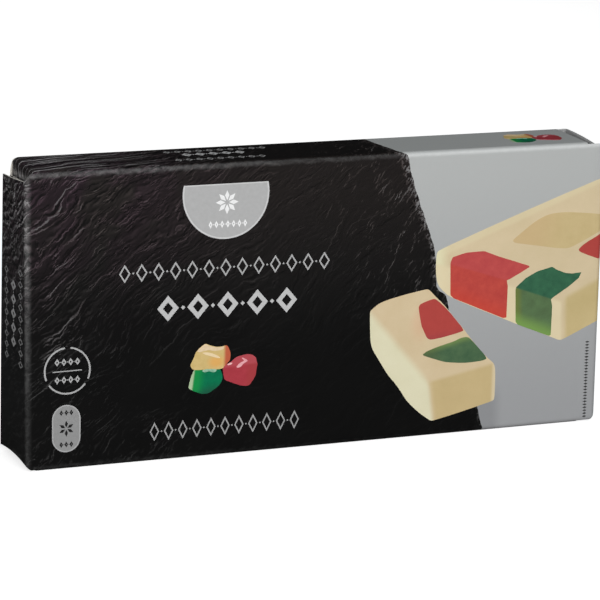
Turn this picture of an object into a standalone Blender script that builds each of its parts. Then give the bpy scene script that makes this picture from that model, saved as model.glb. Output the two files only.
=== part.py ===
"""A shut folding carton for a flat bar of confectionery, standing on one of its long narrow sides.

The carton is one sheet of board, folded and glued. The front and back are the large panels, and the
top and bottom are the narrow ones. At each end, a dust flap bends in from the top and the bottom, an
inner flap bends in from the back, and the closing flap bends in from the front and is glued over
them. The closing flap is a little shorter than the end is tall, so a narrow slot shows above and
below it, between the closing flap and the dust flap. At the left end the closing flap's free edge
slants, and the inner flap's fold leans in behind it. The pack is shut, so its inside is solid.

The origin is at the middle of the underside. +X runs along the carton, the front panel faces -Y
and +Z is up. Lengths are in metres.
"""

import math

import bmesh
import bpy
from mathutils import Vector

# Driving dimensions of the folded carton
LENGTH = 0.180
DEPTH = 0.026
HEIGHT = 0.086
BOARD = 0.00045

# Folds, measured on their outer side. The upright edges of the dust flaps are only a little round,
# and so are the right-hand dust flaps' own folds.
LONG_FOLD = 0.0017
UPRIGHT_SHARE = 0.5
DUST_FOLD_SHARE = {-1: 1.0, 1: 0.5}
CLOSING_FOLD = 0.0018
INNER_FOLD = 0.0015
FOLD_STEPS = 6

# How far the dust flaps lie behind the plane of the closing flap, at the front and at the back.
# The two ends differ, because the flaps of a hand-sized carton never fold quite square.
DUST_FLAP_BEHIND = {-1: (0.0017, 0.0038), 1: (0.0054, 0.0037)}

# A flap's cut edges start at most this far from the panel's corner, and step in while the board
# turns the fold. Where the flap's board still lies in its panel, they start inside its long folds.
LEG_CLEAR = 0.00045
LEG_START_CLEAR = 0.0017

# Closing flap: the clearance over its top edge and under its bottom edge, past the fold, half way
# along and at the free edge, and the gap from the free edge to the back panel at the bottom and top
CLOSING_TOP_CLEAR = {-1: (0.00285, 0.0036, 0.0041), 1: (0.0026, 0.0011, 0.0004)}
CLOSING_BOTTOM_CLEAR = {-1: (0.0020, 0.0026, 0.0017), 1: (0.0032, 0.0016, 0.0012)}
CLOSING_FREE_GAP = {-1: (0.0003, 0.0041), 1: (0.0004, 0.0004)}
CLOSING_SAMPLES = 12

# Inner flap, glued behind the closing flap. Its fold leans in at the top by the last value.
INNER_TOP_CLEAR = {-1: (0.0052, 0.0042, 0.0036), 1: (0.00015, 0.0011, 0.0020)}
INNER_BOTTOM_CLEAR = {-1: (0.0030, 0.0034, 0.0034), 1: (0.0034, 0.0030, 0.0026)}
INNER_WIDTH = 0.018
INNER_LEAN = {-1: 0.0026, 1: 0.0003}
GLUED = 0.00005

# The slots over and under the flaps are this deep, and below that the end is closed
SLOT_DEPTH = 0.0085
END_FILL_LENGTH = 0.0100
END_FILL_INSET = 0.0001
END_FILL_CORNER = 0.0022

# A flap's board comes out of its panel this far before the dust flap's fold begins, and starts
# this much further in.
LEG_LAP = 0.00015
LEG_HIDDEN = 0.0013

# Seam: the back panel's lower edge is a cut edge that laps over the fold behind it
SEAM_RISE = 0.0006
SEAM_HEIGHT = 0.0030

SHARP_ANGLE = math.radians(35)
BOARD_COLOUR = (0.020, 0.018, 0.019, 1.0)
BOARD_ROUGHNESS = 0.42


def clear_scene():
    """Removes every object, so that the script can be run again in an open file."""
    for obj in list(bpy.data.objects):
        bpy.data.objects.remove(obj, do_unlink=True)
    for mesh in list(bpy.data.meshes):
        bpy.data.meshes.remove(mesh)
    for collection in list(bpy.data.collections):
        bpy.data.collections.remove(collection)


def new_collection(name):
    collection = bpy.data.collections.new(name)
    bpy.context.scene.collection.children.link(collection)
    return collection


def board_material():
    """Coated carton board with a dark print."""
    material = bpy.data.materials.new("printed_board")
    material.use_nodes = True
    shader = material.node_tree.nodes["Principled BSDF"]
    shader.inputs["Base Color"].default_value = BOARD_COLOUR
    shader.inputs["Roughness"].default_value = BOARD_ROUGHNESS
    shader.inputs["Metallic"].default_value = 0.0
    return material


def object_from_bmesh(bm, name, collection):
    mesh = bpy.data.meshes.new(name)
    bm.to_mesh(mesh)
    bm.free()
    obj = bpy.data.objects.new(name, mesh)
    collection.objects.link(obj)
    return obj


def folded_sleeve(name, collection):
    """The four panels and the dust flaps: a box with all its edges rounded and its ends set back."""
    bm = bmesh.new()
    bmesh.ops.create_cube(bm, size=1.0)
    share = bm.edges.layers.float.new("bevel_weight_edge")
    for edge in bm.edges:
        left, right = sorted(vert.co.x for vert in edge.verts)
        low, high = sorted(vert.co.z for vert in edge.verts)
        if high > low:
            edge[share] = UPRIGHT_SHARE
        else:
            edge[share] = 1.0 if right > left else DUST_FOLD_SHARE[1 if left > 0 else -1]
    for vert in bm.verts:
        end = 1 if vert.co.x > 0 else -1
        at_front, at_back = DUST_FLAP_BEHIND[end]
        set_back = at_front if vert.co.y < 0 else at_back
        vert.co.x = end * (LENGTH / 2 - set_back)
        vert.co.y = vert.co.y * DEPTH
        vert.co.z = (vert.co.z + 0.5) * HEIGHT
    obj = object_from_bmesh(bm, name, collection)
    folds = obj.modifiers.new("folds", "BEVEL")
    folds.width = LONG_FOLD
    folds.segments = FOLD_STEPS
    folds.limit_method = "WEIGHT"
    return obj


def clearance(values, t):
    """How far a flap's cut edge lies inside the carton's height, at one place along the flap.

    At -2 the board starts inside its panel. From -1 to 0 it turns the fold, and from 0 to 1 a smooth
    curve runs through three values.
    """
    first, middle, last = values
    if t < -1:
        return LEG_START_CLEAR
    if t < 0:
        turned = (t + 1) ** 2 * (1 - 2 * t)
        leg = min(LEG_CLEAR, first)
        return leg + (first - leg) * turned
    return (
        first * (1 - t) * (1 - 2 * t)
        + middle * 4 * t * (1 - t)
        + last * t * (2 * t - 1)
    )


def flap_plan(end, side, outer_x, fold, width):
    """Points in plan of a flap's outer face, each with its place along the flap, as clearance reads it.

    end is -1 for the left end of the carton and 1 for the right. side is -1 for a flap that bends
    in from the front panel and 1 for one from the back panel. outer_x is how far the flap's outer
    face lies behind the carton's end.
    """
    face_x = end * (LENGTH / 2 - outer_x)
    panel_y = side * DEPTH / 2
    centre = Vector((face_x - end * fold, panel_y - side * fold))
    set_back = DUST_FLAP_BEHIND[end][0 if side < 0 else 1]
    meets = LENGTH / 2 - set_back - LONG_FOLD * UPRIGHT_SHARE - LEG_LAP
    points = [
        (Vector((end * (meets - LEG_HIDDEN), panel_y)), -2.0),
        (Vector((end * meets, panel_y)), -1.0),
    ]
    for step in range(FOLD_STEPS + 1):
        angle = math.pi / 2 * step / FOLD_STEPS
        turn = Vector((end * math.sin(angle), side * math.cos(angle)))
        points.append((centre + fold * turn, step / FOLD_STEPS - 1))
    for step in range(1, CLOSING_SAMPLES + 1):
        share = step / CLOSING_SAMPLES
        points.append((Vector((face_x, centre.y - side * width * share)), share))
    return points


def bent_flap(name, plans, top_clear, bottom_clear, outward, collection):
    """One end flap: a ribbon of board that stands on its edge and turns the fold.

    plans holds the plan that its lower edge follows and the plan that its upper edge follows.
    """
    bm = bmesh.new()
    low, high = [], []
    for point, place in plans[0]:
        low.append(bm.verts.new((point.x, point.y, clearance(bottom_clear, place))))
    for point, place in plans[1]:
        high.append(bm.verts.new((point.x, point.y, HEIGHT - clearance(top_clear, place))))
    for i in range(len(low) - 1):
        corners = (low[i], low[i + 1], high[i + 1], high[i])
        bm.faces.new(corners if outward > 0 else tuple(reversed(corners)))
    obj = object_from_bmesh(bm, name, collection)
    thickness = obj.modifiers.new("board", "SOLIDIFY")
    thickness.thickness = BOARD
    thickness.offset = -1.0
    thickness.use_even_offset = True
    return obj


def closing_flap(name, end, collection):
    """The outer flap, which bends in from the front panel and reaches to the back edge."""
    plans = []
    for gap in CLOSING_FREE_GAP[end]:
        width = DEPTH - CLOSING_FOLD - gap
        plans.append(flap_plan(end, -1, 0.0, CLOSING_FOLD, width))
    top_clear, bottom_clear = CLOSING_TOP_CLEAR[end], CLOSING_BOTTOM_CLEAR[end]
    return bent_flap(name, plans, top_clear, bottom_clear, end, collection)


def inner_flap(name, end, collection):
    """The flap from the back panel, which lies glued behind the closing flap."""
    upright = flap_plan(end, 1, BOARD - GLUED, INNER_FOLD, INNER_WIDTH)
    leaned = []
    for point, place in upright:
        share = min(1.0, 1.0 - place)
        leaned.append((point - Vector((end * INNER_LEAN[end] * share, 0)), place))
    top_clear, bottom_clear = INNER_TOP_CLEAR[end], INNER_BOTTOM_CLEAR[end]
    return bent_flap(name, (upright, leaned), top_clear, bottom_clear, -end, collection)


def box(name, low, high, collection):
    bm = bmesh.new()
    bmesh.ops.create_cube(bm, size=1.0)
    middle = (Vector(low) + Vector(high)) / 2
    size = Vector(high) - Vector(low)
    for vert in bm.verts:
        vert.co = Vector((vert.co.x * size.x, vert.co.y * size.y, vert.co.z * size.z)) + middle
    return object_from_bmesh(bm, name, collection)


def end_fill(name, end, collection):
    """Closes the end between its two slots. Its upright edges are rounded to stay inside the folds.

    Its back edge leans in with the inner flap's fold.
    """
    outer = end * (LENGTH / 2 - END_FILL_INSET)
    inner = end * (LENGTH / 2 - END_FILL_LENGTH)
    bm = bmesh.new()
    bmesh.ops.create_cube(bm, size=1.0)
    for vert in bm.verts:
        at_outer = vert.co.x > 0
        vert.co.x = outer if at_outer else inner
        vert.co.y = math.copysign(DEPTH / 2 - END_FILL_INSET, vert.co.y)
        vert.co.z = HEIGHT - SLOT_DEPTH if vert.co.z > 0 else SLOT_DEPTH
        if at_outer and vert.co.y > 0:
            vert.co.x -= end * INNER_LEAN[end] * vert.co.z / HEIGHT
    if end < 0:
        bmesh.ops.reverse_faces(bm, faces=bm.faces)
    upright = [
        edge
        for edge in bm.edges
        if abs(edge.verts[0].co.z - edge.verts[1].co.z) > SLOT_DEPTH
        and abs(edge.verts[0].co.x - inner) > END_FILL_LENGTH / 2
    ]
    bmesh.ops.bevel(
        bm,
        geom=upright,
        offset=END_FILL_CORNER,
        segments=FOLD_STEPS,
        profile=0.5,
        affect="EDGES",
    )
    return object_from_bmesh(bm, name, collection)


def seam_edge(name, collection):
    """The cut lower edge of the back panel, one board thick, which laps over the fold behind it."""
    round_end = LONG_FOLD * UPRIGHT_SHARE
    reach = [LENGTH / 2 - DUST_FLAP_BEHIND[end][1] - round_end for end in (-1, 1)]
    low = (-reach[0], DEPTH / 2 - BOARD, SEAM_RISE)
    high = (reach[1], DEPTH / 2, SEAM_HEIGHT)
    return box(name, low, high, collection)


def join_as_one_sheet(carton, pieces):
    """Unites the flaps with the sleeve into one closed mesh, and removes what it was made from."""
    union = carton.modifiers.new("one_sheet", "BOOLEAN")
    union.operation = "UNION"
    union.operand_type = "COLLECTION"
    union.collection = pieces
    union.solver = "EXACT"
    depsgraph = bpy.context.evaluated_depsgraph_get()
    united = bpy.data.meshes.new_from_object(carton.evaluated_get(depsgraph))
    carton.modifiers.clear()
    carton.data = united
    for piece in list(pieces.objects):
        bpy.data.objects.remove(piece, do_unlink=True)
    bpy.data.collections.remove(pieces)
    united.shade_smooth()
    united.set_sharp_from_angle(angle=SHARP_ANGLE)


def build():
    clear_scene()
    carton_parts = new_collection("carton")
    pieces = new_collection("joined_pieces")
    carton = folded_sleeve("carton", carton_parts)
    for end, word in ((-1, "left"), (1, "right")):
        closing_flap(f"closing_flap_{word}", end, pieces)
        inner_flap(f"inner_flap_{word}", end, pieces)
        end_fill(f"end_fill_{word}", end, pieces)
    seam_edge("seam_edge", pieces)
    join_as_one_sheet(carton, pieces)
    carton.data.materials.append(board_material())


build()
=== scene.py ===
# %% [markdown]
# # A shut folding carton, printed like slate on silver
#
# The object is a flat carton for a bar of marzipan turron. It stands on its long narrow side. It is one
# sheet of board, printed while it is flat, then creased, folded and glued. This notebook dresses the packed
# CAD model: the board with its folds and flaps, the print as thin layers of ink, then light and camera.
# The frame comes first, because every piece takes its size and its place from it.

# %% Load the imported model
import math

import bmesh
import bpy
import numpy as np
from mathutils import Matrix, Vector
from mathutils.geometry import tessellate_polygon


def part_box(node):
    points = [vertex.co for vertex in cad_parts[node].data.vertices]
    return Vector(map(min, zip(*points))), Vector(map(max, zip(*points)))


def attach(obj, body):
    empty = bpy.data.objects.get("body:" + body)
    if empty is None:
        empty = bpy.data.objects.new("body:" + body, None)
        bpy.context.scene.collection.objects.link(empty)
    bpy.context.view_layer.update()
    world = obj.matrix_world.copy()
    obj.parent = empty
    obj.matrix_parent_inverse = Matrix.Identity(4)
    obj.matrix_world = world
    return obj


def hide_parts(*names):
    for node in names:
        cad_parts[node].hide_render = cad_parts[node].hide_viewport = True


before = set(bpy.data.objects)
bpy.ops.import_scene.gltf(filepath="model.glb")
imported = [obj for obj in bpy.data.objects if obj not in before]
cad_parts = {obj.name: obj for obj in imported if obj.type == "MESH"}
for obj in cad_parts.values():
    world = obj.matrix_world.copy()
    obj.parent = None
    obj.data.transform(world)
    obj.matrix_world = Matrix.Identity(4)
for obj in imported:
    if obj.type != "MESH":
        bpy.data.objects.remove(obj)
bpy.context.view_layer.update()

low_corner, high_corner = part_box("carton")
LENGTH, DEPTH, HEIGHT = high_corner - low_corner
MM = 0.001
print("carton in mm:", [round(side / MM, 2) for side in (LENGTH, DEPTH, HEIGHT)])

# %% [markdown]
# ## The camera
#
# A pack shot is taken from far away with a long lens, so that the box keeps its square look. The camera's
# place and turn were solved from the carton's edges in the photograph. A camera could be aimed with
# a constraint, but a matrix of three axes is plain and leaves nothing live in the scene. One small function
# puts the camera, and every later object, in the scene.


# %% Place the camera
def new_object(name, data):
    """Makes an object and puts it in the scene."""
    made = bpy.data.objects.new(name, data)
    bpy.context.scene.collection.objects.link(made)
    return made


IMAGE_SIDE = 600
FOCAL_PIXELS = 2983.49
CAMERA_PLACE = Vector((-0.32440, -0.79058, 0.23812))
YAW, PITCH, ROLL = (math.radians(angle) for angle in (22.1651, 12.9909, 1.0686))


def camera_axes():
    """The camera's right, up and forward directions."""
    forward = Vector((math.sin(YAW) * math.cos(PITCH), math.cos(YAW) * math.cos(PITCH), -math.sin(PITCH)))
    level = Vector((math.cos(YAW), -math.sin(YAW), 0))
    upright = level.cross(forward)
    right = level * math.cos(ROLL) + upright * math.sin(ROLL)
    return right, right.cross(forward), forward


right, up, forward = camera_axes()
camera = new_object("camera", bpy.data.cameras.new("camera"))
camera.data.lens = FOCAL_PIXELS / IMAGE_SIDE * camera.data.sensor_width
turn = Matrix((right, up, -forward)).transposed().to_4x4()
camera.matrix_world = Matrix.Translation(CAMERA_PLACE) @ turn
bpy.context.scene.camera = camera
print("lens in mm:", round(camera.data.lens, 1))

# %% [markdown]
# ## Small tools for nodes
#
# Every finish below is a node tree, and a formula in nodes is long to write. So a node's output is wrapped in
# a small class that adds and multiplies like a number: each sum or product then makes its own Math node.
# The other helpers add a noise, a smooth step or a mix. tone() turns the 0 to 255 numbers that a printer
# would name into the linear colours that the shader works with.


# %% Helpers for node trees
class Out:
    """A node's output, which can be used in a formula like a number."""

    def __init__(self, socket):
        self.socket = socket

    def __add__(self, other):
        return math_of("ADD", self, other)

    def __sub__(self, other):
        return math_of("SUBTRACT", self, other)

    def __rsub__(self, other):
        return math_of("SUBTRACT", other, self)

    def __mul__(self, other):
        return math_of("MULTIPLY", self, other)

    def __truediv__(self, other):
        return math_of("DIVIDE", self, other)

    def __abs__(self):
        return math_of("ABSOLUTE", self)

    def at_least(self, other):
        return math_of("MAXIMUM", self, other)

    def at_most(self, other):
        return math_of("MINIMUM", self, other)


def fill(socket, value):
    """Joins a socket to an output, or sets its value."""
    if isinstance(value, Out):
        socket.id_data.links.new(value.socket, socket)
    else:
        socket.default_value = value


def node(kind, inputs, output=0, tree=None, **settings):
    """Adds a node to its inputs' tree, fills the inputs by name or number, and gives one of its outputs."""
    tree = tree or next(value.socket.id_data for value in inputs.values() if isinstance(value, Out))
    made = tree.nodes.new(kind)
    for name, value in settings.items():
        setattr(made, name, value)
    for name, value in inputs.items():
        fill(made.inputs[name], value)
    return None if output is None else Out(made.outputs[output])


def tone(red, green, blue):
    """A printed colour, given as on a screen from 0 to 255, in linear light by the sRGB curve."""
    shades = [value / 255 for value in (red, green, blue)]
    return tuple(s / 12.92 if s <= 0.04045 else ((s + 0.055) / 1.055) ** 2.4 for s in shades) + (1.0,)


def math_of(operation, first, second=0.0, clamp=False):
    return node("ShaderNodeMath", {0: first, 1: second}, operation=operation, use_clamp=clamp)


def vector_of(operation, first, second, output=0):
    return node("ShaderNodeVectorMath", {0: first, 1: second}, output, operation=operation)


def step_of(value, start, end, low=0.0, high=1.0):
    """A smooth step from low to high while value goes from start to end."""
    inputs = {"Value": value, "From Min": start, "From Max": end, "To Min": low, "To Max": high}
    return node("ShaderNodeMapRange", inputs, interpolation_type="SMOOTHSTEP")


def mix_of(factor, first, second):
    """Mixes two numbers."""
    return node("ShaderNodeMix", {0: factor, 2: first, 3: second})


def blend_of(factor, first, second, mode="MIX"):
    """Mixes two colours."""
    return node("ShaderNodeMix", {0: factor, 6: first, 7: second}, 2, data_type="RGBA", blend_type=mode)


def grey_of(value):
    return node("ShaderNodeCombineColor", {0: value, 1: value, 2: value})


def noise_of(place, scale, detail=2.0, roughness=0.5, kind="FBM", output=0):
    inputs = {"Vector": place, "Scale": scale, "Detail": detail, "Roughness": roughness}
    return node("ShaderNodeTexNoise", inputs, output, noise_type=kind)


def across_and_up(place):
    return [node("ShaderNodeSeparateXYZ", {0: place}, axis) for axis in (0, 1)]


print("node helpers are ready")

# %% [markdown]
# ## Groups of nodes
#
# What more than one material needs is a node group with named sockets, built once. Making one always takes
# the same steps, so they stand in a decorator: the function under it gets the group's inputs and returns its
# results. From then on the function's name places the group in a tree, with values by socket name.


# %% Helper for node groups
RESULT_KINDS = {"Color": "NodeSocketColor", "Normal": "NodeSocketVector"}


def shader_group(name, results, **sockets):
    """Makes a group out of the function under it. A socket's value sets its kind: None stands for a place."""

    def build(draw):
        tree = bpy.data.node_groups.new(name, "ShaderNodeTree")
        for socket_name, value in sockets.items():
            size = 3 if value is None else np.size(value)
            kind = {1: "NodeSocketFloat", 3: "NodeSocketVector", 4: "NodeSocketColor"}[size]
            socket = tree.interface.new_socket(socket_name, in_out="INPUT", socket_type=kind)
            if value is not None:
                socket.default_value = value
        for result in results:
            kind = RESULT_KINDS.get(result, "NodeSocketFloat")
            tree.interface.new_socket(result, in_out="OUTPUT", socket_type=kind)
        given = [Out(socket) for socket in tree.nodes.new("NodeGroupInput").outputs]
        drawn = draw(*given[: len(sockets)])
        ends = tree.nodes.new("NodeGroupOutput").inputs
        for socket, value in zip(ends, drawn if len(results) > 1 else [drawn]):
            fill(socket, value)
        print("group:", name, "with", len(tree.nodes), "nodes")

        def place_group(**inputs):
            outputs = node("ShaderNodeGroup", inputs, node_tree=tree).socket.node.outputs
            return [Out(socket) for socket in outputs] if len(results) > 1 else Out(outputs[0])

        return place_group

    return build


# %% [markdown]
# ## Tooth and varnish
#
# Coated board isn't glass. Its clay coat has a fine tooth, and the rollers lay the varnish on a little
# unevenly. All inks share this, so it is one node group: it takes a place in millimetres and puts out
# a roughness and a normal. The tooth is a few thousandths of a millimetre high, enough to break up
# a reflection. A broad wave of up to a tenth of a millimetre bends it a little as well.


# %% Group: the tooth of coated board
@shader_group("board_tooth", ["Roughness", "Normal"], Place=None, Roughness=0.42, Unevenness=0.08)
def board_tooth(place, roughness, unevenness):
    fine, broad = noise_of(place, 3.2, 3.0, 0.6), noise_of(place, 0.06, 2.0, 0.5)
    uneven = math_of("ADD", roughness, (fine + broad - 1.0) * unevenness, clamp=True)
    height = (fine * 0.004 + broad * 0.10) * MM
    return uneven, node("ShaderNodeBump", {"Strength": 1.0, "Distance": 1.0, "Height": height})


# %% [markdown]
# ## The blank and its places
#
# The print is laid on while the board is flat, so it runs over every fold without a break. To get that,
# each board mesh carries a UV map named blank: the place, in metres, that the point had on the flat sheet.
# Across the carton the map counts from the middle. Upwards it is the height on the front panel, carried on
# round the other panels. On a fold it counts along the arc, so nothing is stretched.

# %% Sizes of the board and its folds, as in the CAD source
BOARD = 0.45 * MM
LONG_FOLD = 1.7 * MM
UPRIGHT_FOLD = 0.85 * MM
CLOSING_FOLD = 1.8 * MM
INNER_FOLD = 1.5 * MM
DUST_FLAP_BEHIND = {-1: (1.7 * MM, 3.8 * MM), 1: (5.4 * MM, 3.7 * MM)}
DUST_FOLD = {-1: LONG_FOLD, 1: 0.85 * MM}
FOLD_STEPS = 10
NARROW_PARTS, TALL_PARTS = 2, 8
SHOULDER = 0.25 * MM
SAME_PLACE = 1e-7
QUARTER = math.pi / 2
LONG_ARC = LONG_FOLD * QUARTER
NARROW_FLAT, TALL_FLAT = DEPTH - 2 * LONG_FOLD, HEIGHT - 2 * LONG_FOLD
BLANK_START = LONG_FOLD - LONG_ARC - NARROW_FLAT


def ring_stops():
    """Stops round the folded sleeve: depth, height, the outward normal, and the height on the blank.

    It starts at the back of the bottom panel and goes on over the front, the top and the back.
    """
    half, top = DEPTH / 2, HEIGHT
    flats = [
        ((half - LONG_FOLD, 0), (-half + LONG_FOLD, 0), NARROW_PARTS),
        ((-half, LONG_FOLD), (-half, top - LONG_FOLD), TALL_PARTS),
        ((-half + LONG_FOLD, top), (half - LONG_FOLD, top), NARROW_PARTS),
        ((half, top - LONG_FOLD), (half, LONG_FOLD), TALL_PARTS),
    ]
    stops, blank = [], BLANK_START
    for side, (start, end, parts) in enumerate(flats):
        angle = -QUARTER * (side + 1)
        normal = np.array((math.cos(angle), math.sin(angle)))
        start, end = np.array(start), np.array(end)
        span = np.linalg.norm(end - start)
        for share in (0, SHOULDER / span, *np.linspace(0, 1, parts + 1)[1:-1], 1 - SHOULDER / span):
            stops.append((*(start + (end - start) * share), *normal, blank + span * share))
        blank += span
        centre = end - normal * LONG_FOLD
        for step in range(FOLD_STEPS):
            turned = angle - QUARTER * step / FOLD_STEPS
            normal = np.array((math.cos(turned), math.sin(turned)))
            stops.append((*(centre + normal * LONG_FOLD), *normal, blank + LONG_ARC * step / FOLD_STEPS))
        blank += LONG_ARC
    stops.append((*stops[0][:4], blank))
    return np.array(stops)


RING = ring_stops()
print("stops round the sleeve:", len(RING), "blank from", RING[0, 4].round(4), "to", RING[-1, 4].round(4))

# %% [markdown]
# ## The folded sleeve
#
# The front, top, back and bottom panels and the dust flaps under the end closures make one closed body.
# A cube with a Bevel modifier would give the same outline, but no even grid and no blank map. So the ring
# of stops is carried along the carton: at each end it turns inward over the crease of the dust flaps. The
# back bows out by a fifth of a millimetre, as board does when its glue dries.


# %% Build the sleeve
BACK_BOW, FACES_BACK = 0.2 * MM, 0.99
UPRIGHT_BLEND = 6
STATIONS = 18


def end_setback(end, depth):
    """How far a dust flap lies behind the carton's end, from front to back."""
    front, back = DUST_FLAP_BEHIND[end]
    return front + (back - front) * (depth + DEPTH / 2) / DEPTH


def curl(end, edge, fold):
    """Stations round the fold at one end: how far along, how far in, and the place across the blank."""
    turns = np.linspace(0, QUARTER, FOLD_STEPS + 1)[1:][::end]
    return [(edge + end * fold * np.sin(t), fold * (1 - np.cos(t)), edge + end * fold * t) for t in turns]


def sleeve_rows():
    """Stations along the carton: for each one, a row of points and of places on the blank."""
    depth, height, normal_y, normal_z, blank = RING.T
    upright = np.abs(normal_y) ** UPRIGHT_BLEND
    folds = [DUST_FOLD[end] + (UPRIGHT_FOLD - DUST_FOLD[end]) * upright for end in (-1, 1)]
    start, stop = (end * (LENGTH / 2 - end_setback(end, depth) - fold) for end, fold in zip((-1, 1), folds))
    shoulder = SHOULDER / LENGTH
    shares = (0, shoulder, *np.linspace(0, 1, STATIONS + 1)[1:-1], 1 - shoulder, 1)
    flat = [(start + (stop - start) * share, 0, start + (stop - start) * share) for share in shares]
    points, places = [], []
    for x, inset, across in [*curl(-1, start, folds[0]), *flat, *curl(1, stop, folds[1])]:
        bow = BACK_BOW * (normal_y > FACES_BACK) * np.sin(math.pi * height / HEIGHT) ** 2
        bow = bow * np.clip(1 - (2 * x / LENGTH) ** 2, 0, 1)
        y = depth - normal_y * inset + bow
        z = height - normal_z * inset
        points.append(np.stack([x, y, z], 1))
        places.append(np.stack([across, blank], 1))
    return np.array(points), np.array(places)


def grid_mesh(name, points, places):
    """A mesh from a grid of points, with their places on the blank as its UV map."""
    rows, columns = points.shape[:2]
    index = np.arange(rows * columns).reshape(rows, columns)
    quads = np.stack([index[:-1, :-1], index[:-1, 1:], index[1:, 1:], index[1:, :-1]], -1).reshape(-1, 4)
    mesh = bpy.data.meshes.new(name)
    mesh.from_pydata(points.reshape(-1, 3).tolist(), [], quads.tolist())
    blank = mesh.uv_layers.new(name="blank")
    blank.uv.foreach_set("vector", places.reshape(-1, 2)[quads.ravel()].astype(np.float32).ravel())
    return mesh


def dust_flap_place(end, point, upper):
    """The place on the blank of a point on the dust flap's face."""
    fold = DUST_FOLD[end]
    arc_end = LENGTH / 2 - end_setback(end, point.y) - fold + fold * QUARTER
    from_front = point.y + DEPTH / 2 - LONG_FOLD
    if upper:
        return end * (arc_end + HEIGHT - fold - point.z), HEIGHT - LONG_FOLD + LONG_ARC + from_front
    return end * (arc_end + point.z - fold), LONG_FOLD - LONG_ARC - from_front


def sleeve_mesh():
    points, places = sleeve_rows()
    mesh = grid_mesh("folded_sleeve", points, places)
    rows, columns = points.shape[:2]
    half_way = np.flatnonzero(np.abs(RING[:, 1] - HEIGHT / 2) < SAME_PLACE)
    ring = list(range(columns - 1))
    front, back = int(half_way[0]), int(half_way[1])
    bm = bmesh.new()
    bm.from_mesh(mesh)
    bm.verts.ensure_lookup_table()
    blank = bm.loops.layers.uv["blank"]
    for end, first in ((-1, 0), (1, (rows - 1) * columns)):
        for upper, loop in ((True, ring[front : back + 1]), (False, ring[back:] + ring[: front + 1])):
            face = bm.faces.new([bm.verts[first + i] for i in loop])
            for corner in face.loops:
                corner[blank].uv = dust_flap_place(end, corner.vert.co, upper)
    bmesh.ops.remove_doubles(bm, verts=bm.verts, dist=SAME_PLACE)
    bmesh.ops.recalc_face_normals(bm, faces=bm.faces)
    for face in bm.faces:
        face.smooth = True
    bm.to_mesh(mesh)
    bm.free()
    return mesh


def as_piece(name, mesh):
    """Puts a finished mesh in the scene, on the carton's only body."""
    piece = new_object(name, mesh)
    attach(piece, "root")
    return piece


sleeve = as_piece("folded_sleeve", sleeve_mesh())
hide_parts("carton")
print("sleeve:", len(sleeve.data.vertices), "points,", len(sleeve.data.polygons), "faces")

# %% [markdown]
# ## The end flaps
#
# At each end an inner flap folds in from the back panel, and the closing flap folds in from the front and
# is glued over it. Their edges step in at the fold, so a narrow slot shows above and below. At the left end
# the closing flap's free edge slants, and the inner flap's fold leans in behind it. At the right end the
# dust flaps lie further back, so a dark gap shows over the flap's fold. A flap is a ribbon: its plan is drawn
# once, each point gets a lower and an upper edge, and Solidify gives it the board's thickness.

# %% Build the four end flaps
LEG_CLEAR = 0.45
CLOSING_TOP_CLEAR = {-1: (2.85, 3.6, 4.1), 1: (2.6, 1.1, 0.4)}
CLOSING_BOTTOM_CLEAR = {-1: (2.0, 2.6, 1.7), 1: (3.2, 1.6, 1.2)}
CLOSING_FREE_GAP = {-1: (0.3, 4.1), 1: (0.4, 0.4)}
INNER_TOP_CLEAR = {-1: (5.2, 4.2, 3.6), 1: (0.15, 1.1, 2.0)}
INNER_BOTTOM_CLEAR = {-1: (3.0, 3.4, 3.4), 1: (3.4, 3.0, 2.6)}
INNER_LEAN = {-1: 2.6, 1: 0.3}
INNER_WIDTH = 18 * MM
GLUED = 0.05 * MM
LEG_LAP, LEG_RISE, LEG_SUNK = 0.15 * MM, 0.004 * MM, 0.06 * MM
LEG_HIDDEN = 1.5 * MM
GAP_CURVE = 1.3
FLAP_STEPS, FLAP_BANDS = 12, 10
EDGE_SHARES = np.array([0, 0.1, 0.35, 0.65, 1.0, 1.4, 2.0, 3.0]) * MM / HEIGHT
FLAP_SHARES = [*EDGE_SHARES, *np.linspace(0, 1, FLAP_BANDS + 1)[1:-1], *(1 - EDGE_SHARES[::-1])]
BOARD_SHARP = math.radians(40)


def clearance(values, turned):
    """How far a cut edge lies inside the carton's height. turned runs from -1 to 0 over the fold."""
    first, middle, last = values
    if turned < 0:
        leg = min(LEG_CLEAR, first)
        return MM * (leg + (first - leg) * (turned + 1) ** 2 * (1 - 2 * turned))
    return MM * (
        first * (1 - turned) * (1 - 2 * turned)
        + middle * 4 * turned * (1 - turned)
        + last * turned * (2 * turned - 1)
    )


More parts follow.
